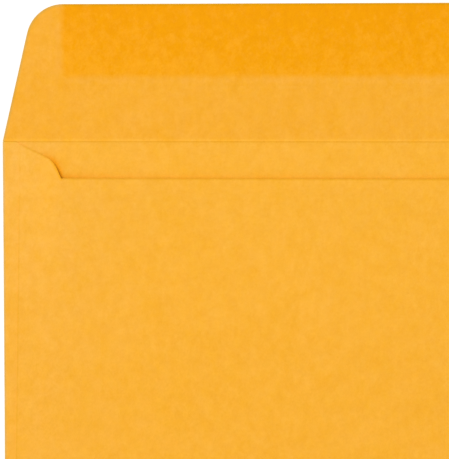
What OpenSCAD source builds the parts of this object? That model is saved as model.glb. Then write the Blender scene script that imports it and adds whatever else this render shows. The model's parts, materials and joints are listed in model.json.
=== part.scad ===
// Booklet envelope of heavy kraft paper, lying face down with its gummed flap open.
// One die-cut sheet makes the address panel, the flap, two side flaps and the back panel.
// X runs along the long opening, +Y points to the free edge of the flap, +Z points up.
// The origin is under the centre of the opened envelope, on the table.

/* [Body] */
// Width across the two side folds
body_w = 304.8; // [180:0.1:330]
// Height from the bottom fold to the flap crease
body_h = 228.6; // [120:0.1:305]
// Thickness of the kraft paper
paper_t = 0.15; // [0.1:0.01:0.25]
// Inside radius of the pressed side folds
fold_r = 0.15; // [0.08:0.01:0.3]

/* [Flap] */
// Height of the flap above its crease
flap_h = 69.85; // [50:0.05:90]
// Lean of the flap's two sides from upright
flap_side_angle = 13; // [4:0.5:25]
// Radius of the flap's two outer corners
flap_corner_r = 19; // [3:0.5:24]
// Width of the score that the flap bends along
score_w = 0.7; // [0.3:0.05:1.2]
// Depth of the score in the inner face
score_depth = 0.05; // [0.02:0.01:0.07]

/* [Back panel] */
// Drop from the flap crease to the straight edge of the throat
throat_depth = 18.6; // [18:0.1:30]
// Distance from a side fold to the end of the throat's straight edge
throat_inset = 30.3; // [29:0.1:32]
// Distance from a side fold at which the shoulder line would meet the crease
shoulder_start = 5.9; // [4:0.1:7]
// Distance from a side fold to the bend between the shoulder's two lines
shoulder_bend_inset = 26.4; // [23:0.1:27]
// Drop from the crease to that bend
shoulder_bend_drop = 10.1; // [8:0.1:11]
// Radius of the bend
shoulder_r = 11; // [2:0.5:12]
// Distance from a side fold to the panel's cut side edge, level with the crease
back_inset_top = 8.7; // [8.5:0.1:12]
// The same distance at the bottom fold
back_inset_bottom = 4.7; // [3:0.1:8]

/* [Side flaps] */
// Width of each side flap inside the pocket
side_flap_w = 22; // [15:0.5:22]
// How far the side flap shows above the shoulder line, up to the back panel's corner
side_flap_show = 0.15; // [0.05:0.05:0.3]
// How far the side flap's cut edge stays back from the shoulder
side_flap_setback = 1.4; // [0.8:0.1:3]
// Height of the side flap's lower end above the bottom fold
side_flap_foot = 3; // [2:0.5:8]
// Slope of the side flap's lower edge
side_flap_foot_angle = 20; // [5:1:40]
// Gap between the flap crease and the top end of each side fold
corner_relief = 0.3; // [0.2:0.05:0.6]

/* [Gum strip] */
// Height of the dried gum band
gum_h = 36.2; // [12:0.1:40]
// Distance from the flap corner's curve to the end of the gum band
gum_end_gap = 0.2; // [0.1:0.1:10]
// Bare paper left between the gum and the edge of the flap
gum_edge_gap = 0.3; // [0.1:0.1:3]
// Thickness of the dried gum
gum_t = 0.04; // [0.02:0.01:0.08]

/* [Hidden] */
$fn = 96;

side_reach = fold_r + paper_t;
half_w = body_w / 2 - side_reach;
bottom_r = fold_r + paper_t / 2;
bottom_reach = bottom_r + paper_t;
side_z = paper_t + 2 * fold_r;
back_z = side_z + paper_t;
crease_y = (body_h - flap_h) / 2;
foot_y = bottom_reach - body_h;

// Corner arc of the flap, left side: its centre and where it leaves the side and the top
flap_arc_y = flap_h - flap_corner_r;
flap_arc_x = (flap_corner_r + flap_arc_y * sin(flap_side_angle)) / cos(flap_side_angle) - body_w / 2;
flap_arc = [flap_arc_x, flap_arc_y];
flap_arc_side = flap_arc + flap_corner_r * [-cos(flap_side_angle), sin(flap_side_angle)];
flap_arc_top = flap_arc + [0, flap_corner_r];
flap_tip = [flap_h * tan(flap_side_angle) - body_w / 2, flap_h];

// Shoulder of the back panel, left side: a long line, a bend and a steep line to the throat
throat_end = [throat_inset - body_w / 2, -throat_depth];
bend = [shoulder_bend_inset - body_w / 2, -shoulder_bend_drop];
slope_a = shoulder_bend_drop / (shoulder_bend_inset - shoulder_start);
angle_a = atan(slope_a);
angle_b = atan2(throat_depth - shoulder_bend_drop, throat_inset - shoulder_bend_inset);
arc_reach = shoulder_r * tan((angle_b - angle_a) / 2);
arc_a = bend + arc_reach * [-cos(angle_a), sin(angle_a)];
arc_b = bend + arc_reach * [cos(angle_b), -sin(angle_b)];
arc_centre = arc_a - shoulder_r * [sin(angle_a), cos(angle_a)];

// Cut side edge of the back panel, left side, and where it meets the shoulder line
back_lean = (back_inset_top - back_inset_bottom) / body_h;
back_top_drop = slope_a * (back_inset_top - shoulder_start) / (1 + slope_a * back_lean);
back_top = [back_inset_top - back_lean * back_top_drop - body_w / 2, -back_top_drop];
back_foot = [back_inset_bottom - body_w / 2, foot_y];

// Cut edge of the side flap, left side: level, then just above the shoulder line to the back
// panel's corner, then under the back panel
side_level_x = shoulder_start + (corner_relief + side_flap_show) / slope_a - body_w / 2;
side_turn_x = back_inset_top - body_w / 2;
side_turn_y = side_flap_show - slope_a * (back_inset_top - shoulder_start);
side_end_x = side_flap_w - body_w / 2;
side_end_y = -slope_a * (side_flap_w - shoulder_start) - side_flap_setback;

// A round convex corner: the part of the disc between its two tangent points
module corner_arc(centre, radius, tangent_a, outer, tangent_b) {
    intersection() {
        translate(centre) circle(r = radius);
        polygon([centre, tangent_a, outer, tangent_b]);
    }
}

// Both halves of a shape that is the same left and right
module both_sides() {
    children();
    mirror([1, 0]) children();
}

module front_and_flap_outline() {
    polygon([
        [-half_w, foot_y], [-half_w, 0], [-body_w / 2, 0],
        flap_arc_side, flap_arc, flap_arc_top,
        [-flap_arc_top[0], flap_arc_top[1]], [-flap_arc[0], flap_arc[1]],
        [-flap_arc_side[0], flap_arc_side[1]],
        [body_w / 2, 0], [half_w, 0], [half_w, foot_y]
    ]);
    both_sides() corner_arc(flap_arc, flap_corner_r, flap_arc_side, flap_tip, flap_arc_top);
}

module back_outline() {
    polygon([
        back_foot, back_top, arc_a, arc_centre, arc_b, throat_end,
        [-throat_end[0], throat_end[1]], [-arc_b[0], arc_b[1]], [-arc_centre[0], arc_centre[1]],
        [-arc_a[0], arc_a[1]], [-back_top[0], back_top[1]], [-back_foot[0], back_foot[1]]
    ]);
    both_sides() corner_arc(arc_centre, shoulder_r, arc_a, bend, arc_b);
}

module side_flap_outline() {
    polygon([
        [-half_w, -corner_relief],
        [side_level_x, -corner_relief],
        [side_turn_x, side_turn_y],
        [side_end_x, side_end_y],
        [side_end_x, side_flap_foot - body_h + side_flap_w * tan(side_flap_foot_angle)],
        [-half_w, side_flap_foot - body_h]
    ]);
}

// Half ring that joins two layers of paper and reaches into both, open to the right
module fold_profile(inner_r) {
    outer_r = inner_r + paper_t;
    difference() {
        circle(r = outer_r);
        circle(r = inner_r);
        translate([0, -inner_r]) square([outer_r, 2 * inner_r]);
    }
}

module side_fold() {
    fold_len = body_h - side_flap_foot - corner_relief;
    translate([-half_w, -corner_relief, side_reach])
        rotate([90, 0, 0])
            linear_extrude(height = fold_len) fold_profile(fold_r);
}

module bottom_fold() {
    fold_len = body_w - 2 * back_inset_bottom;
    translate([-fold_len / 2, foot_y, bottom_reach])
        rotate([90, 0, 90])
            linear_extrude(height = fold_len) fold_profile(bottom_r);
}

// Glued lap of the back panel on the left side flap, from mid layer to mid layer
module side_seam() {
    translate([0, 0, side_z + paper_t / 2])
        linear_extrude(height = paper_t)
            intersection() {
                side_flap_outline();
                back_outline();
            }
}

// Pressed line along the crease, a shallow V in the inner face
module score() {
    translate([-body_w / 2, 0, paper_t])
        rotate([90, 0, 90])
            linear_extrude(height = body_w)
                polygon([[-score_w, score_depth], [0, -score_depth], [score_w, score_depth]]);
}

module envelope_sheet() {
    color([0.98, 0.70, 0.23])
        translate([0, crease_y, 0]) {
            difference() {
                linear_extrude(height = paper_t) front_and_flap_outline();
                score();
            }
            for (side = [0, 1]) mirror([side, 0, 0]) {
                side_fold();
                translate([0, 0, side_z])
                    linear_extrude(height = paper_t) side_flap_outline();
                side_seam();
            }
            bottom_fold();
            translate([0, 0, back_z]) linear_extrude(height = paper_t) back_outline();
        }
}

module gum_strip() {
    gum_start = flap_arc_x + gum_end_gap;
    color([0.97, 0.64, 0.08])
        translate([gum_start, crease_y + flap_h - gum_edge_gap - gum_h, paper_t])
            cube([-2 * gum_start, gum_h, gum_t]);
}

envelope_sheet();
gum_strip();
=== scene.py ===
# A golden kraft booklet envelope lying open on its address side, seen straight down on its back.
import json
import math

import bmesh
import bpy
import numpy as np
from mathutils import Matrix, Vector, noise

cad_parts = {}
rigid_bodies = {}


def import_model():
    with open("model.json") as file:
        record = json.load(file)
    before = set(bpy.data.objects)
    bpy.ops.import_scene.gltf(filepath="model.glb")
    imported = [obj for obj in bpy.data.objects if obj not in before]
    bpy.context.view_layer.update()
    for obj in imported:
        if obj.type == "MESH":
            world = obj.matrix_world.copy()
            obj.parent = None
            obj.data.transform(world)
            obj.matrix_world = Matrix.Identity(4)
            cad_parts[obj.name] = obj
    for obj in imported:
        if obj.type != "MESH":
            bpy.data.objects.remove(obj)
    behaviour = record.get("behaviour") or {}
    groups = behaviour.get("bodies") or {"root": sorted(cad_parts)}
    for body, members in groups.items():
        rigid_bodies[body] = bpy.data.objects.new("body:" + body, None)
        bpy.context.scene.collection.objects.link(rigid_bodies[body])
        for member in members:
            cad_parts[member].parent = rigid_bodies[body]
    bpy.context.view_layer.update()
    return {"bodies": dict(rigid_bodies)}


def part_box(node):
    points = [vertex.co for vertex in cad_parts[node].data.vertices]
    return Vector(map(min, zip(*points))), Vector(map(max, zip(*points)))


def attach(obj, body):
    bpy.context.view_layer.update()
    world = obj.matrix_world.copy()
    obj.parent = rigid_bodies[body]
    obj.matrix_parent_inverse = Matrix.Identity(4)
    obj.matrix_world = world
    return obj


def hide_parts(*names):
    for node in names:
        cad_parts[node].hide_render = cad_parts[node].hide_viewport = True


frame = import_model()

ROOT = next(iter(frame["bodies"]))
MM = 0.001

# Sizes of the envelope, as in the frame
SHEET_LOW, SHEET_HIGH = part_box("envelope_sheet")
BODY_W = SHEET_HIGH.x - SHEET_LOW.x
FLAP_H = 69.85 * MM
BODY_H = SHEET_HIGH.y - SHEET_LOW.y - FLAP_H
CREASE_Y = SHEET_HIGH.y - FLAP_H
PAPER_T = 0.15 * MM
FOLD_R = 0.15 * MM
FLAP_SIDE_ANGLE = math.radians(13)
FLAP_CORNER_R = 19 * MM
THROAT_DEPTH = 18.6 * MM
THROAT_INSET = 30.3 * MM
SHOULDER_START = 5.9 * MM
SHOULDER_BEND_INSET = 26.4 * MM
SHOULDER_BEND_DROP = 10.1 * MM
SHOULDER_SLOPE = SHOULDER_BEND_DROP / (SHOULDER_BEND_INSET - SHOULDER_START)
SHOULDER_R = 11 * MM
BACK_INSET_TOP = 8.7 * MM
BACK_INSET_BOTTOM = 4.7 * MM
SIDE_FLAP_W = 22 * MM
SIDE_FLAP_SHOW = 0.15 * MM
SIDE_FLAP_SETBACK = 1.4 * MM
SIDE_FLAP_FOOT = 3 * MM
SIDE_FLAP_FOOT_ANGLE = math.radians(20)
CORNER_RELIEF = 0.3 * MM

# What follows from these sizes; X is measured from the middle line and Y from the crease
HALF_W = BODY_W / 2 - FOLD_R - PAPER_T
FOLD_INSET = FOLD_R + PAPER_T
BOTTOM_R = FOLD_R + PAPER_T / 2
FOOT_Y = BOTTOM_R + PAPER_T - BODY_H
SIDE_FLAP_FOOT_Y = SIDE_FLAP_FOOT - BODY_H
THROAT_X = BODY_W / 2 - THROAT_INSET

# Centre of the flap's right corner arc, measured in the same way, and the height at which the arc starts
FLAP_ARC_Y = FLAP_H - FLAP_CORNER_R
FLAP_SIN, FLAP_COS = math.sin(FLAP_SIDE_ANGLE), math.cos(FLAP_SIDE_ANGLE)
FLAP_ARC_X = BODY_W / 2 - (FLAP_CORNER_R + FLAP_ARC_Y * FLAP_SIN) / FLAP_COS
FLAP_ARC_START = FLAP_ARC_Y + FLAP_CORNER_R * FLAP_SIN

# Mid heights of the upper layers over the underside of the address panel
SIDE_FLAP_MID = 2 * FOLD_R + 1.5 * PAPER_T
BACK_MID = 2 * FOLD_R + 2.5 * PAPER_T

# How the paper lies: heights above its flat place, and lengths over which they fade
CREASE_LIFT = 0.7 * MM
CREASE_RUN = 60 * MM
CREASE_BURR_H = 0.12 * MM
CREASE_BURR_Y = 0.17 * MM
CREASE_BURR_HALF = 0.35 * MM
WAVE_H = 0.25 * MM
COCKLE_H = 0.035 * MM
POCKET_SAG = 0.30 * MM
POCKET_RUN = 60 * MM
LIP_LIFT = 0.35 * MM
LIP_RUN = 22 * MM
LIP_UNEVEN = 0.5

# The panel's raised corners beside the throat, which fade down the panel and along the lip
EAR_LIFT = 0.85 * MM
EAR_RUN = 42 * MM
EAR_ALONG = 34 * MM

# Inset up to which the glued seam holds the back panel down
SEAM_HOLD = 15 * MM

# How far the curl of the free lip draws its edge back, and the inset from which it does so in full
LIP_BACK = 0.45 * MM
LIP_BACK_FULL = 1.1 * THROAT_INSET

# Ripples of the paper: repeats per metre along X and Y, and the layer of the noise
WAVE = (9, 7, 3.1)
COCKLE = (75, 55, 8.7)
PANEL_COCKLE = (60, 45, 21.4)

# The lip's unevenness: repeats per metre along X, and the row of the noise
LIP_RIPPLES = 25
LIP_ROW = 5.3

# Spacing of the mesh
STEP = 2.6 * MM
FOOT_ROWS = 2
ARC_ROWS = 12
MARGIN_COLUMNS = 3
FOLD_STEPS = 6
GUM_ROWS = 24

# How far the finer rows reach below and above the crease, and how many they are
CREASE_BELOW = 6 * MM
CREASE_ABOVE = 1.5 * MM
BELOW_ROWS = 6
CREASE_ROWS = 12

# Where points lie along the shoulder's long line, and steps of its bend and of its steep line
SHOULDER_PARTS = (0, 0.03, 0.08, 0.16, 0.32, 0.48, 0.64, 0.82)
BEND_STEPS = 8
STEEP_STEPS = 6

# Columns of a side flap: in its level stretch, up to the back panel's corner, and under the panel
SIDE_FLAP_STEPS = (4, 2, 4)

# Faces that meet at a larger angle than this have a sharp edge between them
SHARP_ANGLE = math.radians(45)

# Power that brings the back panel's rows closer together towards the lip
LIP_CROWDING = 1.15

# Share of the back panel's height, from the bottom fold, over which its lift sets in
LIFT_START = 0.1

# The drawn sheet is a touch thinner than the paper, so that no two layers share a face
SHEET_T = 0.97 * PAPER_T

# What stands for the distance inside the back panel's cut edge on undersides, folds and side flaps
FAR = 1.0

# How deep the underside of the gum film sits in the paper
FILM_SEAT = 0.01 * MM


def smooth(low, high, value):
    """0 below low, 1 above high, with a soft rise between."""
    t = min(max((value - low) / (high - low), 0.0), 1.0)
    return t * t * (3 - 2 * t)


def bell(value, width):
    """1 at 0 and falling off softly; about a third is left at width."""
    return math.exp(-((value / width) ** 2))


def ripple(x, y, kind):
    """Smooth noise between -1 and 1; kind is its repeats per metre along X and Y, and its layer."""
    per_x, per_y, layer = kind
    return noise.noise(Vector((x * per_x, y * per_y, layer)))


def base_height(x, y):
    """Height of the lowest layer's underside above the table; y is measured from the crease."""
    if y > 0:
        ridge = 1 - y / FLAP_H
    else:
        ridge = math.exp(y / CREASE_RUN)
    wave = WAVE_H * (0.5 + 0.5 * ripple(x, y, WAVE))
    cockle = COCKLE_H * ripple(x, y, COCKLE)
    burr = CREASE_BURR_H * bell(y - CREASE_BURR_Y, CREASE_BURR_HALF)
    return CREASE_LIFT * ridge + wave + cockle + COCKLE_H + burr


def back_lift(x, y):
    """How far the back panel stands off its flat place: it sags over the pocket and curls up at the lip."""
    inset = BODY_W / 2 - abs(x)
    middle = smooth(SIDE_FLAP_W, POCKET_RUN, inset) * smooth(0, POCKET_RUN, y - FOOT_Y)
    below_throat = max(-THROAT_DEPTH - y, 0.0)
    off_seam = smooth(SEAM_HOLD, THROAT_INSET, inset)
    past_corner = max(inset - THROAT_INSET, 0.0)
    ear = EAR_LIFT * bell(past_corner, EAR_ALONG) * bell(below_throat, EAR_RUN)
    uneven = 1 + LIP_UNEVEN * noise.noise(Vector((x * LIP_RIPPLES, LIP_ROW, 0.0)))
    lip = LIP_LIFT * uneven * bell(below_throat, LIP_RUN)
    sag = POCKET_SAG * middle * (1 - bell(below_throat, LIP_RUN))
    own = COCKLE_H * middle * ripple(x, y, PANEL_COCKLE)
    return off_seam * (ear + lip) + own - sag


def between(a, b, count):
    """count points from a to b, leaving out b."""
    return [a + (b - a) * i / count for i in range(count)]


def flap_half_width(y):
    """Half the flap's width at height y above the crease."""
    if y <= FLAP_ARC_START:
        return BODY_W / 2 - y * math.tan(FLAP_SIDE_ANGLE)
    return FLAP_ARC_X + math.sqrt(max(FLAP_CORNER_R**2 - (y - FLAP_ARC_Y) ** 2, 0.0))


def outline_inset(x, y):
    """Distance from the envelope's outline, inwards; y is measured from the crease."""
    x = abs(x)
    if y < 0:
        return min(BODY_W / 2 - x, y + BODY_H)
    u, v = x - FLAP_ARC_X, y - FLAP_ARC_Y
    if u > 0 and v * FLAP_COS > u * FLAP_SIN:
        return FLAP_CORNER_R - math.hypot(u, v)
    return min((BODY_W / 2 - x) * FLAP_COS - y * FLAP_SIN, FLAP_H - y)


def drawn_back(x):
    """How far the curl of the free lip draws its edge back from where the flat panel's edge lies."""
    return LIP_BACK * smooth(SIDE_FLAP_W, LIP_BACK_FULL, BODY_W / 2 - abs(x))


def back_top_outline():
    """Top edge of the back panel from its left corner to the middle, as (x, y) from the crease."""
    left = -BODY_W / 2
    throat_end = Vector((left + THROAT_INSET, -THROAT_DEPTH))
    bend = Vector((left + SHOULDER_BEND_INSET, -SHOULDER_BEND_DROP))
    angle_a = math.atan(SHOULDER_SLOPE)
    angle_b = math.atan2(THROAT_DEPTH - SHOULDER_BEND_DROP, THROAT_INSET - SHOULDER_BEND_INSET)
    reach = SHOULDER_R * math.tan((angle_b - angle_a) / 2)
    arc_a = bend + reach * Vector((-math.cos(angle_a), math.sin(angle_a)))
    arc_b = bend + reach * Vector((math.cos(angle_b), -math.sin(angle_b)))
    centre = arc_a - SHOULDER_R * Vector((math.sin(angle_a), math.cos(angle_a)))
    lean = (BACK_INSET_TOP - BACK_INSET_BOTTOM) / BODY_H
    drop = SHOULDER_SLOPE * (BACK_INSET_TOP - SHOULDER_START) / (1 + SHOULDER_SLOPE * lean)
    corner = Vector((left + BACK_INSET_TOP - lean * drop, -drop))
    points = [corner.lerp(arc_a, t) for t in SHOULDER_PARTS]
    for angle in between(angle_a, angle_b, BEND_STEPS):
        points.append(centre + SHOULDER_R * Vector((math.sin(angle), math.cos(angle))))
    points += [arc_b.lerp(throat_end, t) for t in between(0, 1, STEEP_STEPS)]
    count = round((HALF_W - THROAT_INSET) / STEP)
    points += [throat_end.lerp(Vector((0, -THROAT_DEPTH)), t) for t in between(0, 1, count)]
    return [(p.x, p.y - drawn_back(p.x)) for p in points]


def distance_to(path, x, y):
    """Distance from a point to the nearest stretch of a path of points."""
    a, b = path[:-1], path[1:]
    along = b - a
    reach = (x - a[:, 0]) * along[:, 0] + (y - a[:, 1]) * along[:, 1]
    part = np.clip(reach / (along**2).sum(axis=1), 0, 1)
    near = a + along * part[:, None]
    return float(np.hypot(near[:, 0] - x, near[:, 1] - y).min())


class Paper:
    """Points and faces of one sheet without thickness, and how far inside the cut edge each point lies."""

    def __init__(self):
        self.points = []
        self.faces = []
        self.insides = []

    def add(self, x, y, z, inside=FAR):
        """Adds a point and returns its number.

        inside is its distance inside the back panel's cut edge, less than 0 outside it.
        """
        self.points.append((x, y + CREASE_Y, z))
        self.insides.append(inside)
        return len(self.points) - 1

    def join(self, grid):
        """Adds faces between the neighbouring rows of point numbers in grid."""
        for low, high in zip(grid, grid[1:]):
            for a, b, c, d in zip(low, low[1:], high[1:], high):
                self.faces.append((a, b, c, d))


def front_rows():
    """Heights from the crease of the rows that cross the address panel and the flap."""
    rows = between(FOOT_Y, SIDE_FLAP_FOOT_Y, FOOT_ROWS)
    rows += between(SIDE_FLAP_FOOT_Y, -CREASE_BELOW, round(BODY_H / STEP))
    rows += between(-CREASE_BELOW, -CORNER_RELIEF, BELOW_ROWS)
    rows += [-CORNER_RELIEF, -CORNER_RELIEF / 2]
    rows += between(0, CREASE_ABOVE, CREASE_ROWS)
    rows += between(CREASE_ABOVE, FLAP_ARC_START, round(FLAP_ARC_START / STEP))
    for angle in between(FLAP_SIDE_ANGLE, math.pi / 2, ARC_ROWS):
        rows.append(FLAP_ARC_Y + FLAP_CORNER_R * math.sin(angle))
    return rows + [FLAP_H]


def folded_sheet():
    """The whole blank, folded: address panel, flap, side folds, side flaps, bottom fold, back panel."""
    paper = Paper()
    left_top = back_top_outline()
    back_top = left_top + [(0, left_top[-1][1])] + [(-x, y) for x, y in reversed(left_top)]
    stretch = (BODY_W / 2 - BACK_INSET_BOTTOM) / -left_top[0][0]
    foot_x = [x * stretch for x, y in back_top]
    margin = between(-HALF_W, foot_x[0], MARGIN_COLUMNS)
    columns = margin + foot_x + [-x for x in reversed(margin)]
    rows = front_rows()
    front = add_front(paper, columns, rows, np.array(back_top))

    fold_low = rows.index(SIDE_FLAP_FOOT_Y)
    fold_high = rows.index(-CORNER_RELIEF)
    for side, column in ((-1, 0), (1, -1)):
        edge = [row[column] for row in front[fold_low : fold_high + 1]]
        add_side_flap(paper, side, edge, rows[fold_low : fold_high + 1])

    add_back_panel(paper, front[0][len(margin) : -len(margin)], foot_x, back_top)
    return paper


def add_front(paper, columns, rows, lip):
    """The address panel and the flap, which narrows the rows that cross it. Returns their point numbers."""
    grid = []
    for y in rows:
        narrow = flap_half_width(y) / HALF_W if y >= 0 else 1.0
        line = []
        for column_x in columns:
            x = column_x * narrow
            below = 1 if y < np.interp(x, lip[:, 0], lip[:, 1]) else -1
            line.append(paper.add(x, y, base_height(x, y) + PAPER_T / 2, below * distance_to(lip, x, y)))
        grid.append(line)
    paper.join(grid)
    return grid


def fold_steps(radius):
    """For each step round a fold, how far out it lies and how far up from the lowest underside."""
    for k in range(1, FOLD_STEPS + 1):
        turn = math.pi * k / FOLD_STEPS
        yield radius * math.sin(turn), PAPER_T / 2 + radius * (1 - math.cos(turn))


def side_flap_cut():
    """The side flap's cut top edge from the fold inwards: its insets, and its drops below the crease."""
    level_inset = SHOULDER_START + (CORNER_RELIEF + SIDE_FLAP_SHOW) / SHOULDER_SLOPE
    turn_drop = SHOULDER_SLOPE * (BACK_INSET_TOP - SHOULDER_START) - SIDE_FLAP_SHOW
    end_drop = SHOULDER_SLOPE * (SIDE_FLAP_W - SHOULDER_START) + SIDE_FLAP_SETBACK
    insets = (FOLD_INSET, level_inset, BACK_INSET_TOP, SIDE_FLAP_W)
    drops = (CORNER_RELIEF, CORNER_RELIEF, turn_drop, end_drop)
    return insets, drops


def add_side_flap(paper, side, edge, heights):
    """One side fold and its side flap; side is -1 for left and 1 for right, edge the points it starts at."""
    grid = [edge]
    for out, rise in fold_steps(FOLD_R + PAPER_T / 2):
        x = side * (HALF_W + out)
        grid.append([paper.add(x, y, base_height(side * HALF_W, y) + rise) for y in heights])
    cut_insets, cut_drops = side_flap_cut()
    insets = []
    for low, high, count in zip(cut_insets, cut_insets[1:], SIDE_FLAP_STEPS):
        insets += between(low, high, count)
    for inset in insets[1:] + [SIDE_FLAP_W]:
        reach = inset - FOLD_INSET
        top = -float(np.interp(inset, cut_insets, cut_drops))
        foot = heights[0] + reach * math.tan(SIDE_FLAP_FOOT_ANGLE)
        line = []
        for y in heights:
            part = (y - heights[0]) / (heights[-1] - heights[0])
            own_y = foot + (top - foot) * part
            x = side * (HALF_W - reach)
            line.append(paper.add(x, own_y, base_height(x, own_y) + SIDE_FLAP_MID))
        grid.append(line)
    paper.join(grid)


def add_back_panel(paper, edge, foot_x, back_top):
    """The bottom fold and the back panel; edge is the row of points that the fold starts from."""
    grid = [edge]
    for out, rise in fold_steps(BOTTOM_R + PAPER_T / 2):
        grid.append([paper.add(x, FOOT_Y - out, base_height(x, FOOT_Y) + rise) for x in foot_x])
    count = round((BODY_H - THROAT_DEPTH) / STEP)
    cut_path = np.array([(foot_x[0], FOOT_Y)] + back_top + [(foot_x[-1], FOOT_Y)])
    for i in range(1, count + 1):
        part = 1 - (1 - i / count) ** LIP_CROWDING
        line = []
        for low_x, (top_x, top_y) in zip(foot_x, back_top):
            x = low_x + (top_x - low_x) * part
            y = FOOT_Y + (top_y - FOOT_Y) * part
            z = base_height(x, y) + BACK_MID + back_lift(x, y) * smooth(0, LIFT_START, part)
            line.append(paper.add(x, y, z, distance_to(cut_path, x, y)))
        grid.append(line)
    paper.join(grid)


def thick_object(name, paper, thickness, rim_slot):
    """A closed object made from an open sheet of faces, with its rim in material slot rim_slot."""
    mesh = bpy.data.meshes.new(name)
    mesh.from_pydata(paper.points, [], paper.faces)
    work = bmesh.new()
    work.from_mesh(mesh)
    bmesh.ops.recalc_face_normals(work, faces=work.faces)
    work.to_mesh(mesh)
    work.free()
    obj = bpy.data.objects.new(name, mesh)
    bpy.context.scene.collection.objects.link(obj)
    solid = obj.modifiers.new("thickness", "SOLIDIFY")
    solid.thickness = thickness
    solid.offset = 0
    solid.use_even_offset = True
    solid.material_offset_rim = rim_slot
    graph = bpy.context.evaluated_depsgraph_get()
    obj.data = bpy.data.meshes.new_from_object(obj.evaluated_get(graph))
    obj.modifiers.clear()
    obj.data.name = name
    obj.data.polygons.foreach_set("use_smooth", [True] * len(obj.data.polygons))
    return obj


def slab(name, grid):
    """A closed object between two height fields; grid holds rows of (x, y, low, high)."""
    wide = len(grid[0])
    flat = [point for row in grid for point in row]
    count = len(flat)
    points = [(x, y, low) for x, y, low, high in flat] + [(x, y, high) for x, y, low, high in flat]
    faces = []
    for j in range(len(grid) - 1):
        for a in range(j * wide, j * wide + wide - 1):
            faces.append((a, a + wide, a + wide + 1, a + 1))
            faces.append((count + a, count + a + 1, count + a + wide + 1, count + a + wide))
    rim = list(range(wide)) + [wide * j - 1 for j in range(2, len(grid) + 1)]
    rim += list(range(count - 2, count - wide - 1, -1)) + [wide * j for j in range(len(grid) - 2, 0, -1)]
    for a, b in zip(rim, rim[1:] + rim[:1]):
        faces.append((a, b, count + b, count + a))
    mesh = bpy.data.meshes.new(name)
    mesh.from_pydata(points, [], faces)
    mesh.polygons.foreach_set("use_smooth", [True] * len(mesh.polygons))
    obj = bpy.data.objects.new(name, mesh)
    bpy.context.scene.collection.objects.link(obj)
    return obj


def mark_inset(obj):
    """Writes each point's distance from the outline for the material to read."""
    mesh = obj.data
    insets = [outline_inset(v.co.x, v.co.y - CREASE_Y) for v in mesh.vertices]
    mesh.attributes.new("inset", "FLOAT", "POINT").data.foreach_set("value", insets)


def mark_lip(obj, paper):
    """Writes how far inside the cut edge the upper side of each layer lies, and FAR on its underside."""
    mesh = obj.data
    insides = []
    for i, vertex in enumerate(mesh.vertices):
        source = i % len(paper.points)
        upper = vertex.co.z > paper.points[source][2]
        insides.append(paper.insides[source] if upper else FAR)
    mesh.attributes.new("inside_lip", "FLOAT", "POINT").data.foreach_set("value", insides)


def sharpen(obj):
    """Marks the edges of the cut rim as sharp."""
    work = bmesh.new()
    work.from_mesh(obj.data)
    for edge in work.edges:
        edge.smooth = edge.calc_face_angle(0.0) < SHARP_ANGLE
    work.to_mesh(obj.data)
    work.free()


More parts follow.
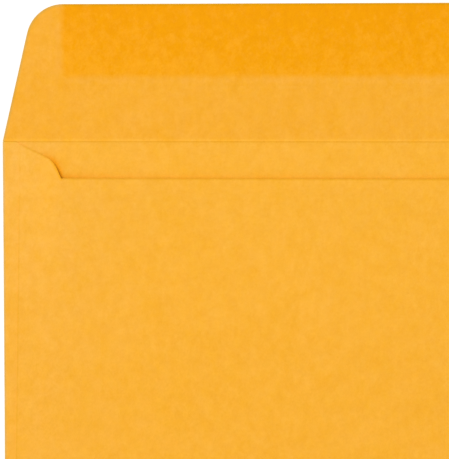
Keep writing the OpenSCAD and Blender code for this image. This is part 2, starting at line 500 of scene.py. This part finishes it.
class Shader:
    """Short helpers that build a node material. A value is a number, a colour or a node's output."""

    def __init__(self, name):
        self.material = bpy.data.materials.new(name)
        self.material.use_nodes = True
        self.nodes = self.material.node_tree.nodes
        self.links = self.material.node_tree.links
        self.nodes.clear()
        out = self.nodes.new("ShaderNodeOutputMaterial")
        self.bsdf = self.nodes.new("ShaderNodeBsdfPrincipled")
        self.links.new(self.bsdf.outputs["BSDF"], out.inputs["Surface"])
        self.coords = self.nodes.new("ShaderNodeTexCoord").outputs["Object"]

    def feed(self, socket, value):
        """Sets a socket to a number or a colour, or links a node's output to it."""
        if isinstance(value, (int, float)):
            socket.default_value = value
        elif isinstance(value, tuple):
            socket.default_value = (*value, 1.0)
        else:
            self.links.new(value, socket)

    def stretched(self, scale, turn):
        """Object coordinates scaled along each axis, then turned about Z to reach another part of a noise."""
        mapping = self.nodes.new("ShaderNodeMapping")
        mapping.vector_type = "POINT"
        mapping.inputs["Scale"].default_value = scale
        mapping.inputs["Rotation"].default_value = (0, 0, turn)
        self.links.new(self.coords, mapping.inputs["Vector"])
        return mapping.outputs["Vector"]

    def noise(self, scale, detail=2.0, roughness=0.5, turn=0.0):
        """Noise around 0.5 with scale repeats per metre along the axes; another turn gives another noise."""
        node = self.nodes.new("ShaderNodeTexNoise")
        node.inputs["Scale"].default_value = 1.0
        node.inputs["Detail"].default_value = detail
        node.inputs["Roughness"].default_value = roughness
        self.links.new(self.stretched(scale, turn), node.inputs["Vector"])
        return node.outputs["Fac"]

    def math(self, kind, *values):
        """The result of a math node of this kind."""
        node = self.nodes.new("ShaderNodeMath")
        node.operation = kind
        for socket, value in zip(node.inputs, values):
            self.feed(socket, value)
        return node.outputs["Value"]

    def times(self, first, *others):
        """All the values multiplied."""
        for other in others:
            first = self.math("MULTIPLY", first, other)
        return first

    def remap(self, value, low, high, to_low=0.0, to_high=1.0, kind="LINEAR"):
        """value taken from low and high to to_low and to_high, and held level beyond them."""
        node = self.nodes.new("ShaderNodeMapRange")
        node.interpolation_type = kind
        node.inputs["From Min"].default_value = low
        node.inputs["From Max"].default_value = high
        node.inputs["To Min"].default_value = to_low
        node.inputs["To Max"].default_value = to_high
        self.links.new(value, node.inputs["Value"])
        return node.outputs["Result"]

    def ease(self, value, low, high, to_low=0.0, to_high=1.0):
        """As remap, with a soft start and a soft end."""
        return self.remap(value, low, high, to_low, to_high, kind="SMOOTHSTEP")

    def spread(self, value, to_low, to_high):
        """A value from 0 to 1 taken to to_low and to_high."""
        return self.remap(value, 0.0, 1.0, to_low, to_high)

    def mix(self, factor, a, b, blend="MIX"):
        """Colour a where factor is 0, and b blended over it where factor is 1."""
        node = self.nodes.new("ShaderNodeMix")
        node.data_type = "RGBA"
        node.blend_type = blend
        sockets = {socket.identifier: socket for socket in node.inputs}
        for name, value in (("Factor_Float", factor), ("A_Color", a), ("B_Color", b)):
            self.feed(sockets[name], value)
        return next(socket for socket in node.outputs if socket.identifier == "Result_Color")

    def tinted(self, factor, color, tint):
        """The colour where factor is 0, and multiplied by the tint where it is 1."""
        return self.mix(factor, color, tint, blend="MULTIPLY")

    def bump(self, height, strength, distance):
        """Lets the height act on the surface's normal."""
        node = self.nodes.new("ShaderNodeBump")
        node.inputs["Strength"].default_value = strength
        node.inputs["Distance"].default_value = distance
        self.links.new(height, node.inputs["Height"])
        self.links.new(node.outputs["Normal"], self.bsdf.inputs["Normal"])

    def surface(self, color, roughness, specular):
        """Sets the colour, the roughness and the level of the highlight."""
        self.links.new(color, self.bsdf.inputs["Base Color"])
        self.links.new(roughness, self.bsdf.inputs["Roughness"])
        self.bsdf.inputs["Specular IOR Level"].default_value = specular

    def attribute(self, name):
        """A value that was written on the mesh's points."""
        node = self.nodes.new("ShaderNodeAttribute")
        node.attribute_name = name
        return node.outputs["Fac"]

    def place(self):
        """Distance from the envelope's middle line, and Y."""
        node = self.nodes.new("ShaderNodeSeparateXYZ")
        self.links.new(self.coords, node.inputs["Vector"])
        return self.math("ABSOLUTE", node.outputs["X"]), node.outputs["Y"]


# Patterns: repeats per metre along each axis, with the noise's detail, roughness and turn
CLOUDS = dict(scale=(105, 86, 300), detail=3, roughness=0.85)
FLOCKS = dict(scale=(230, 165, 300), detail=3, roughness=1.0)
HUES = dict(scale=(190, 150, 240), detail=3, roughness=0.8, turn=0.6)
KRAFT_TOOTH = dict(scale=(2600, 2200, 4000), detail=3, roughness=0.6)
EDGE_FIBRES = dict(scale=(900, 900, 9000), detail=3, roughness=0.6)
GUM_WANDER = dict(scale=(120, 90, 10), detail=2)
GUM_BLOTCHES = dict(scale=(150, 120, 300), detail=4, roughness=0.9)
GUM_TOOTH = dict(scale=(1800, 1500, 4000), detail=3, roughness=0.6)

# Values of a pattern's noise that are taken as its two ends
NOISE_RANGE = (0.30, 0.70)

# Fibres: the turn and the repeats per metre along Y of each set, which has FIBRE_SLENDER times as many
# along X, and the noise's values between which a fibre shows
FIBRE_SETS = ((0.5, 900), (2.2, 1000), (-0.4, 800))
FIBRE_SLENDER = 7
FIBRE_LAYERS = 300
FIBRE_RANGE = (0.66, 0.77)
FIBRE_STRENGTH = 0.28

# Tones of the kraft and the gum, linear
BODY_PALE = (0.975, 0.462, 0.0478)
BODY_DEEP = (0.955, 0.440, 0.0264)
# The flap's deeper tones are painted shade, for a flap that catches less light than the body
FLAP_SHADED_PALE = (0.941, 0.426, 0.0396)
FLAP_SHADED_DEEP = (0.920, 0.400, 0.0174)
GUM_PALE = (0.942, 0.381, 0.0096)
GUM_DEEP = (0.901, 0.347, 0.0000)
FIBRE_DARK = (0.780, 0.300, 0.0200)
EDGE_PALE = (0.785, 0.385, 0.0180)
EDGE_DEEP = (0.650, 0.290, 0.0070)

# What these tones are multiplied by
FLOCK_DARK = (0.962, 0.940, 0.840)
FLOCK_LIGHT = (1.026, 1.060, 1.160)
HUE_COOL = (0.986, 1.004, 1.030)
HUE_WARM = (1.008, 1.000, 0.970)
OUTLINE_TINT = (0.800, 0.960, 2.100)
# The crease's dark line is crushed fibres deepened by painted shade, and its light line is a painted
# highlight
CREASE_CRUSH_SHADE = (0.985, 0.948, 0.600)
CREASE_HIGHLIGHT = (1.020, 1.060, 1.120)
CREASE_END = (0.960, 1.060, 0.880)
# Painted shade along the step of the panel's cut edge
CUT_EDGE_SHADE = (0.922, 0.904, 0.560)
# A whitish painted sheen, stronger towards the side folds and the crease
FOLD_SHEEN = (0.998, 1.026, 1.480)
# Painted shade, darker towards the foot of the panels
FOOT_SHADE = (0.990, 0.970, 0.900)
CORNER_PALING = (1.015, 1.055, 1.320)
# Painted shade that tones down the raised ear, which the light makes too bright
EAR_SHADE = (0.984, 0.975, 0.850)
# Painted shade by the shoulder, outside the lip, just outside the lip's edge and along the steep part of the
# shoulder
SHOULDER_SHADE = (1.000, 0.970, 0.740)
LIP_SHADE = (0.980, 0.860, 0.400)
LIP_EDGE_SHADE = (0.912, 0.990, 0.800)
STEEP_SHADE = (1.030, 0.935, 0.240)
GUM_RIM = (1.010, 1.018, 1.260)
GUM_TOP = (1.012, 0.984, 1.150)

# Roughness where a pattern is 0 and where it is 1, and the level of the highlight
KRAFT_ROUGHNESS = (0.80, 0.70)
KRAFT_SPECULAR = 0.12
EDGE_ROUGHNESS = (0.95, 0.85)
EDGE_SPECULAR = 0.1
GUM_ROUGHNESS = (0.75, 0.58)
GUM_SPECULAR = 0.05

# Strength and height of the bumps, and what each pattern adds to them
KRAFT_BUMP = (0.35, 0.05 * MM)
KRAFT_TOOTH_SHARE = 0.6
FLOCK_SHARE = 0.5
EDGE_BUMP = (0.5, 0.04 * MM)
GUM_BUMP = (0.25, 0.04 * MM)
GUM_TOOTH_SHARE = 0.5

# In the ranges below X is a distance from the middle line and Y is the frame's. A band is a range of
# distances inside the back panel's cut edge, less than 0 outside it.

# The thin darker, greyer line along the outline: distances inside it between which it fades
OUTLINE_INSET = (0.3 * MM, 1.7 * MM)

# Painted sheen that pales the paper towards the side folds: where it grows, its strength at the bottom fold
# and at the crease, and its share on the flap
SHEEN_X = (0.20 * BODY_W, 0.50 * BODY_W)
SHEEN_STRENGTH = (0.3, 1.0)
SHEEN_ON_FLAP = 0.15

# Where the flap's deeper tones, which are painted shade, set in, and their share below the crease and above
# it
FLAP_SHADE_Y = (CREASE_Y - 0.1 * MM, CREASE_Y + 0.3 * MM)
FLAP_SHADE_SHARE = (0.12, 1.0)

# Heights at which the painted shade towards the panels' foot is full, and where it has gone
FOOT_SHADE_Y = (CREASE_Y - 110 * MM, CREASE_Y - 15 * MM)

# The crease's lines, a crushed line deepened by painted shade and a painted highlight: where each has its
# middle, and half its width; and where the end marks set in
CREASE_CRUSH_SHADE_LINE = (CREASE_Y - 0.22 * MM, 0.6 * MM)
CREASE_HIGHLIGHT_LINE = (CREASE_Y + 1.0 * MM, 0.7 * MM)
CREASE_END_LINE = (CREASE_Y - 0.3 * MM, 0.7 * MM)
CREASE_END_X = (BODY_W / 2 - 9 * MM, BODY_W / 2 - 6 * MM)

# The darker line of painted shade inside the panel's cut edge, at its step onto the paper below: where its
# strength changes along the top and down the side
CUT_EDGE_SHADE_BAND = (0.1 * MM, 1.1 * MM)
CUT_TOP_X = (BODY_W / 2 - 14 * MM, BODY_W / 2 - 8 * MM)
CUT_TOP_STRENGTH = (1.15, 0.1)
CUT_SIDE_Y = (CREASE_Y - 50 * MM, CREASE_Y - 15 * MM)
CUT_SIDE_STRENGTH = (0.7, 0.0)

# Round spots by the shoulder: inset from the side fold, drop below the crease, and reach
CORNER_SPOT = (10 * MM, 8 * MM, 8 * MM)
EAR_SPOT = (21.5 * MM, 14.5 * MM, 9 * MM)
SHOULDER_SPOT = (THROAT_INSET + 2 * MM, 9 * MM, 12 * MM)

# Painted shade outside the lip: a thin line along its edge and a wider warm shade, and the deeper line of
# shade along the steep part of the shoulder
LIP_EDGE_SHADE_BAND = (-1.3 * MM, -0.1 * MM)
LIP_EDGE_SHADE_X = (BODY_W / 2 - 17 * MM, BODY_W / 2 - 9 * MM)
LIP_EDGE_SHADE_STRENGTH = (1.0, 0.3)
LIP_SHADE_BAND = (-4.5 * MM, 0.0)
LIP_SHADE_END_X = (THROAT_X + 1 * MM, BODY_W / 2 - 15 * MM)
LIP_SHADE_X = (THROAT_X - 12 * MM, THROAT_X)
LIP_SHADE_STRENGTH = (0.35, 1.0)
STEEP_START_X = (THROAT_X - 1.2 * MM, THROAT_X)
STEEP_END_X = (THROAT_X + 3.0 * MM, THROAT_X + 7.5 * MM)
STEEP_LINE = (-0.3 * MM, 2.4 * MM)

# How near the cut edge a place outside it still counts as on the panel
ON_EDGE = 0.01 * MM


def flocks(shader):
    """The pulp's flocks, 0 where they are dark and 1 where they are light."""
    return shader.remap(shader.noise(**FLOCKS), *NOISE_RANGE)


def mottle(shader, flock):
    """What the flocks and the pulp's slight change of hue multiply a tone by."""
    hue = shader.remap(shader.noise(**HUES), *NOISE_RANGE)
    by_flock = shader.mix(flock, FLOCK_DARK, FLOCK_LIGHT)
    return shader.tinted(1.0, by_flock, shader.mix(hue, HUE_COOL, HUE_WARM))


def kraft_tone(shader, pale, deep, mottled):
    """Uneven formation of the pulp: clouds of tint, the mottle, and a few darker fibres."""
    cloud = shader.remap(shader.noise(**CLOUDS), *NOISE_RANGE)
    color = shader.tinted(1.0, shader.mix(cloud, deep, pale), mottled)
    fibres = None
    for turn, size in FIBRE_SETS:
        line = shader.noise((size * FIBRE_SLENDER, size, FIBRE_LAYERS), detail=1, turn=turn)
        line = shader.ease(line, *FIBRE_RANGE)
        fibres = line if fibres is None else shader.math("MAXIMUM", fibres, line)
    return shader.mix(shader.times(fibres, FIBRE_STRENGTH), color, FIBRE_DARK)


def outline_line(shader, color):
    """The colour with a thin darker, greyer line along the outline."""
    edge = shader.ease(shader.attribute("inset"), *OUTLINE_INSET, 1.0, 0.0)
    return shader.tinted(edge, color, OUTLINE_TINT)


def across(shader, value, middle, half):
    """1 where value is at middle, falling softly to 0 at half to either side."""
    off = shader.math("ABSOLUTE", shader.math("SUBTRACT", value, middle))
    return shader.ease(off, 0.0, half, 1.0, 0.0)


def spot(shader, far, y, where):
    """1 in the middle of a spot, falling softly to 0; where holds its inset, its drop and its reach."""
    inset, drop, reach = where
    beside = across(shader, far, BODY_W / 2 - inset, reach)
    return shader.times(beside, across(shader, y, CREASE_Y - drop, reach))


def with_fold_sheen(shader, far, y, strength, color):
    """The colour with a painted sheen that pales the paper towards its side folds and crease."""
    to_fold = shader.ease(far, *SHEEN_X)
    to_crease = shader.remap(y, SHEET_LOW.y, CREASE_Y, *SHEEN_STRENGTH)
    return shader.tinted(shader.times(to_fold, to_crease, strength), color, FOLD_SHEEN)


def crease_marks(shader, far, y, color):
    """The colour with the crease's dark line of crushed fibres and painted shade, its painted highlight, and
    the yellower ends of the crease.
    """
    color = shader.tinted(across(shader, y, *CREASE_CRUSH_SHADE_LINE), color, CREASE_CRUSH_SHADE)
    color = shader.tinted(across(shader, y, *CREASE_HIGHLIGHT_LINE), color, CREASE_HIGHLIGHT)
    at_end = shader.times(shader.remap(far, *CREASE_END_X), across(shader, y, *CREASE_END_LINE))
    return shader.tinted(at_end, color, CREASE_END)


def panel_marks(shader, far, y, inside, color):
    """The colour with a darker line of painted shade inside the cut edge, a paler spot at the corner, and
    painted shade over the raised ear.

    What is FAR inside counts as panel too, so the paler spot and the ear's painted shade also show on the
    address face.
    """
    on_panel = shader.math("GREATER_THAN", inside, -ON_EDGE)
    # Painted shade: a darker line just inside the cut edge, at its step
    line = shader.times(on_panel, shader.ease(inside, *CUT_EDGE_SHADE_BAND, 1.0, 0.0))
    on_top = shader.remap(far, *CUT_TOP_X, *CUT_TOP_STRENGTH)
    on_side = shader.remap(y, *CUT_SIDE_Y, *CUT_SIDE_STRENGTH)
    line = shader.times(line, shader.math("MAXIMUM", on_top, on_side))
    color = shader.tinted(line, color, CUT_EDGE_SHADE)
    # A paler spot at the corner, and painted shade over the raised ear
    for where, tint in ((CORNER_SPOT, CORNER_PALING), (EAR_SPOT, EAR_SHADE)):
        color = shader.tinted(shader.times(on_panel, spot(shader, far, y, where)), color, tint)
    return color


def throat_marks(shader, far, y, inside, color):
    """The colour with painted shade outside the lip: shades by the shoulder, and a thin line of shade along
    the edge.
    """
    off_panel = shader.math("LESS_THAN", inside, -ON_EDGE)
    shaded = shader.times(off_panel, spot(shader, far, y, SHOULDER_SPOT))
    color = shader.tinted(shaded, color, SHOULDER_SHADE)
    # Painted shade: a thin darker line just outside the lip's edge
    edge_shade = shader.times(off_panel, shader.ease(inside, *LIP_EDGE_SHADE_BAND))
    edge_shade = shader.times(edge_shade, shader.ease(far, *LIP_EDGE_SHADE_X, *LIP_EDGE_SHADE_STRENGTH))
    color = shader.tinted(edge_shade, color, LIP_EDGE_SHADE)
    shade = shader.times(off_panel, shader.ease(far, *LIP_SHADE_END_X, 1.0, 0.0))
    shade = shader.times(shade, shader.ease(inside, *LIP_SHADE_BAND))
    shade = shader.times(shade, shader.ease(far, *LIP_SHADE_X, *LIP_SHADE_STRENGTH))
    return shader.tinted(shade, color, LIP_SHADE)


def steep_mark(shader, far, inside, color):
    """The colour with the deeper line along the steep part of the shoulder."""
    start = shader.ease(far, *STEEP_START_X)
    end = shader.ease(far, *STEEP_END_X, 1.0, 0.0)
    line = shader.times(start, end, across(shader, inside, *STEEP_LINE))
    return shader.tinted(line, color, STEEP_SHADE)


def kraft_material():
    """Uncoated kraft. Painted shade makes the flap's inner face deeper, and a painted sheen pales the paper
    towards the side folds.
    """
    shader = Shader("kraft_paper")
    far, y = shader.place()
    inside = shader.attribute("inside_lip")
    inner_face = shader.math("LESS_THAN", inside, 0.0)
    # Painted shade: the flap's inner face, and a little of the strip below the crease, take the flap's deeper
    # tones
    on_flap = shader.times(inner_face, shader.remap(y, *FLAP_SHADE_Y, *FLAP_SHADE_SHARE))
    pale = shader.mix(on_flap, BODY_PALE, FLAP_SHADED_PALE)
    deep = shader.mix(on_flap, BODY_DEEP, FLAP_SHADED_DEEP)
    flock = flocks(shader)
    color = kraft_tone(shader, pale, deep, mottle(shader, flock))
    # Painted sheen towards the side folds and the crease, weaker on the flap
    color = with_fold_sheen(shader, far, y, shader.spread(on_flap, 1.0, SHEEN_ON_FLAP), color)
    # Painted shade: darker towards the panels' foot, as the light falls off
    color = shader.tinted(shader.remap(y, *FOOT_SHADE_Y, 1.0, 0.0), color, FOOT_SHADE)
    # The crease: crushed fibres with painted shade, and a painted highlight above them
    color = crease_marks(shader, far, y, color)
    color = panel_marks(shader, far, y, inside, color)
    color = throat_marks(shader, far, y, inside, color)
    color = steep_mark(shader, far, inside, color)
    roughness = shader.spread(flock, *KRAFT_ROUGHNESS)
    shader.surface(outline_line(shader, color), roughness, KRAFT_SPECULAR)
    tooth = shader.noise(**KRAFT_TOOTH)
    height = shader.math("MULTIPLY_ADD", tooth, KRAFT_TOOTH_SHARE, shader.times(flock, FLOCK_SHARE))
    shader.bump(height, *KRAFT_BUMP)
    return shader.material


def cut_edge_material():
    """The raw cut edge of the kraft, darker than its faces."""
    shader = Shader("kraft_cut_edge")
    fibres = shader.noise(**EDGE_FIBRES)
    color = shader.mix(fibres, EDGE_DEEP, EDGE_PALE)
    shader.surface(color, shader.spread(fibres, *EDGE_ROUGHNESS), EDGE_SPECULAR)
    shader.bump(fibres, *EDGE_BUMP)
    return shader.material


# The gum band's lower edge and its end, how softly it fades there, and how far the film reaches past them
GUM_LOW_Y = CREASE_Y + 32.9 * MM
GUM_END_X = BODY_W / 2 - 30.6 * MM
GUM_FADE = 2.2 * MM
GUM_MARGIN = 5 * MM

# How far the band's edges wander to either side
GUM_WANDER_BY = 0.5 * MM

# The blotches: values of their noise taken as deep and pale, and what is added to it from the lower
# edge to the upper, and from the middle to the ends
GUM_BLOTCH_RANGE = (0.41, 0.61)
GUM_BLOTCH_UP = (0.07, -0.11)
GUM_BLOTCH_OUT = (-0.03, 0.03)

# How glossy the deep gum and the pale gum are
GUM_GLOSS = (1.0, 0.6)


def gum_cover(shader, far, y, near, out):
    """1 over the gum and 0 past its ends and lower edge, falling between near and out beyond them."""
    over_low = shader.ease(y, GUM_LOW_Y - out, GUM_LOW_Y - near)
    before_end = shader.ease(far, GUM_END_X + near, GUM_END_X + out, 1.0, 0.0)
    return shader.times(over_low, before_end)


def gum_blotches(shader, far, y):
    """The unevenness of the gum's coat, 0 where it is deep and 1 where it is pale."""
    up = shader.remap(y, GUM_LOW_Y, SHEET_HIGH.y, *GUM_BLOTCH_UP)
    out = shader.remap(far, 0.0, GUM_END_X, *GUM_BLOTCH_OUT)
    blotch = shader.math("ADD", shader.noise(**GUM_BLOTCHES), shader.math("ADD", up, out))
    return shader.remap(blotch, *GUM_BLOTCH_RANGE)


def gum_material():
    """Dried gum that has soaked into the kraft. It fades out at its ends and lower edge."""
    shader = Shader("dried_gum")
    far, y = shader.place()
    mottled = mottle(shader, flocks(shader))
    # The flap's deeper tones, which are painted shade
    kraft = kraft_tone(shader, FLAP_SHADED_PALE, FLAP_SHADED_DEEP, mottled)
    # Painted sheen towards the side folds, as on the rest of the flap
    kraft = with_fold_sheen(shader, far, y, SHEEN_ON_FLAP, kraft)
    wander = shader.remap(shader.noise(**GUM_WANDER), *NOISE_RANGE, -GUM_WANDER_BY, GUM_WANDER_BY)
    edge_far = shader.math("ADD", far, wander)
    edge_y = shader.math("ADD", y, wander)
    soak = gum_cover(shader, edge_far, edge_y, -GUM_FADE, GUM_FADE)
    kraft = shader.tinted(gum_cover(shader, edge_far, edge_y, GUM_FADE, GUM_MARGIN), kraft, GUM_RIM)
    blotch = gum_blotches(shader, far, y)
    rich = shader.tinted(1.0, shader.mix(blotch, GUM_DEEP, GUM_PALE), mottled)
    rich = shader.tinted(shader.remap(y, GUM_LOW_Y, SHEET_HIGH.y), rich, GUM_TOP)
    color = outline_line(shader, shader.mix(soak, kraft, rich))
    glossy = shader.times(soak, shader.spread(blotch, *GUM_GLOSS))
    shader.surface(color, shader.spread(glossy, *GUM_ROUGHNESS), GUM_SPECULAR)
    tooth = shader.noise(**GUM_TOOTH)
    shader.bump(shader.math("MULTIPLY_ADD", tooth, GUM_TOOTH_SHARE, blotch), *GUM_BUMP)
    return shader.material


def make_sheet():
    """The envelope's paper as it lies, with its cut rim in a material of its own."""
    paper = folded_sheet()
    sheet = thick_object("envelope_paper", paper, SHEET_T, rim_slot=1)
    sheet.data.materials.append(kraft_material())
    sheet.data.materials.append(cut_edge_material())
    mark_inset(sheet)
    mark_lip(sheet, paper)
    sharpen(sheet)
    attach(sheet, ROOT)
    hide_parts("envelope_sheet")


def make_gum():
    """The gum film on the flap, laid on the same surface as the paper and thinned out towards its edges."""
    low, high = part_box("gum_strip")
    film_t = high.z - low.z
    edge_gap = SHEET_HIGH.y - high.y
    full = GUM_END_X + GUM_MARGIN
    columns = np.linspace(-1, 1, 2 * round(full / STEP) + 1)
    grid = []
    for y in np.linspace(low.y - GUM_MARGIN, high.y, GUM_ROWS):
        half = min(full, flap_half_width(y - CREASE_Y) - edge_gap)
        row = []
        for x in columns * half:
            top = base_height(x, y - CREASE_Y) + PAPER_T
            cover = smooth(-GUM_MARGIN, 0, y - low.y) * smooth(-GUM_MARGIN, 0, GUM_END_X - abs(x))
            row.append((x, y, top - FILM_SEAT, top + FILM_SEAT / 2 + film_t * cover))
        grid.append(row)
    film = slab("gum_film", grid)
    film.data.materials.append(gum_material())
    mark_inset(film)
    sharpen(film)
    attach(film, ROOT)
    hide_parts("gum_strip")


WHITE = (1, 1, 1, 1)


def seen_directly(nodes, links):
    """1 for the camera, and for what it sees mirrored or through glass; 0 for light that falls on things."""
    path = nodes.new("ShaderNodeLightPath")
    seen = path.outputs["Is Camera Ray"]
    for ray in ("Is Glossy Ray", "Is Transmission Ray"):
        either = nodes.new("ShaderNodeMath")
        either.operation = "MAXIMUM"
        links.new(seen, either.inputs[0])
        links.new(path.outputs[ray], either.inputs[1])
        seen = either.outputs["Value"]
    return seen


# The table: a round top a hair below the paper, its own white, and what lifts it to paper white
TABLE_R = 1.2
TABLE_SIDES = 96
TABLE_DROP = 0.02 * MM
TABLE_COLOR = (0.80, 0.80, 0.80, 1)
TABLE_GLOW = 0.28


def make_floor():
    """White table: plain diffuse, lifted to paper white where the camera sees it, with the shadow kept."""
    mesh = bpy.data.meshes.new("table")
    turns = [2 * math.pi * k / TABLE_SIDES for k in range(TABLE_SIDES)]
    rim = [(TABLE_R * math.cos(turn), TABLE_R * math.sin(turn), 0) for turn in turns]
    mesh.from_pydata(rim, [], [tuple(range(TABLE_SIDES))])
    mesh.materials.append(table_material())
    floor = bpy.data.objects.new("table", mesh)
    bpy.context.scene.collection.objects.link(floor)
    floor.location.z = -TABLE_DROP


def table_material():
    """A diffuse white with a little glow that only the camera sees."""
    material = bpy.data.materials.new("white_table")
    material.use_nodes = True
    nodes, links = material.node_tree.nodes, material.node_tree.links
    nodes.clear()
    out = nodes.new("ShaderNodeOutputMaterial")
    diffuse = nodes.new("ShaderNodeBsdfDiffuse")
    diffuse.inputs["Color"].default_value = TABLE_COLOR
    glow = nodes.new("ShaderNodeEmission")
    glow.inputs["Color"].default_value = WHITE
    level = nodes.new("ShaderNodeMath")
    level.operation = "MULTIPLY"
    level.inputs[1].default_value = TABLE_GLOW
    links.new(seen_directly(nodes, links), level.inputs[0])
    links.new(level.outputs["Value"], glow.inputs["Strength"])
    add = nodes.new("ShaderNodeAddShader")
    links.new(diffuse.outputs["BSDF"], add.inputs[0])
    links.new(glow.outputs["Emission"], add.inputs[1])
    links.new(add.outputs["Shader"], out.inputs["Surface"])
    return material


# The key light, far off at the upper left, and what the white surround sheds on things
KEY_POWER = 382.5
KEY_SIZE = 4.6
KEY_DISTANCE = 7.2
KEY_ELEVATION = math.radians(42)
KEY_AZIMUTH = math.radians(128)
KEY_TARGET = Vector((-0.04, 0.035, 0))
WORLD_LEVEL = 0.565


def make_key():
    """A soft key light from the upper left."""
    flat = Vector((math.cos(KEY_AZIMUTH), math.sin(KEY_AZIMUTH), 0))
    towards = flat * math.cos(KEY_ELEVATION) + Vector((0, 0, math.sin(KEY_ELEVATION)))
    data = bpy.data.lights.new("key", "AREA")
    data.shape = "DISK"
    data.size = KEY_SIZE
    data.energy = KEY_POWER
    key = bpy.data.objects.new("key", data)
    key.location = KEY_TARGET + KEY_DISTANCE * towards
    key.rotation_euler = (KEY_TARGET - key.location).to_track_quat("-Z", "Y").to_euler()
    bpy.context.scene.collection.objects.link(key)


def make_surround():
    """An even white surround, at full white where the camera sees it."""
    world = bpy.data.worlds.new("surround")
    world.use_nodes = True
    nodes, links = world.node_tree.nodes, world.node_tree.links
    nodes.clear()
    out = nodes.new("ShaderNodeOutputWorld")
    back = nodes.new("ShaderNodeBackground")
    back.inputs["Color"].default_value = WHITE
    level = nodes.new("ShaderNodeMapRange")
    level.inputs["To Min"].default_value = WORLD_LEVEL
    level.inputs["To Max"].default_value = 1.0
    links.new(seen_directly(nodes, links), level.inputs["Value"])
    links.new(level.outputs["Result"], back.inputs["Strength"])
    links.new(back.outputs["Background"], out.inputs["Surface"])
    bpy.context.scene.world = world


# The photo's frame, and the camera that it was taken with
PHOTO_W, PHOTO_H = 449, 459
PX_PER_M = 1954.8
SENSOR_W = 36
CAMERA_TARGET = Vector((-38.6 * MM, 34.45 * MM, 0))
CAMERA_DISTANCE = 0.65
CAMERA_YAW = math.radians(2.23)
CAMERA_PITCH = math.radians(-2.6)
CAMERA_ROLL = math.radians(0.1)


def make_camera():
    """The photo's camera, above the envelope and looking almost straight down."""
    data = bpy.data.cameras.new("camera")
    data.sensor_width = SENSOR_W
    data.lens = SENSOR_W * CAMERA_DISTANCE * PX_PER_M / max(PHOTO_W, PHOTO_H)
    camera = bpy.data.objects.new("camera", data)
    turn = Matrix.Rotation(CAMERA_YAW, 4, "Y") @ Matrix.Rotation(CAMERA_PITCH, 4, "X")
    turn = turn @ Matrix.Rotation(CAMERA_ROLL, 4, "Z")
    back_off = Matrix.Translation((0, 0, CAMERA_DISTANCE))
    camera.matrix_world = Matrix.Translation(CAMERA_TARGET) @ turn @ back_off
    bpy.context.scene.collection.objects.link(camera)
    bpy.context.scene.camera = camera


make_sheet()
make_gum()
make_floor()
make_key()
make_surround()
make_camera()

settings = bpy.context.scene.view_settings
settings.view_transform = "Standard"
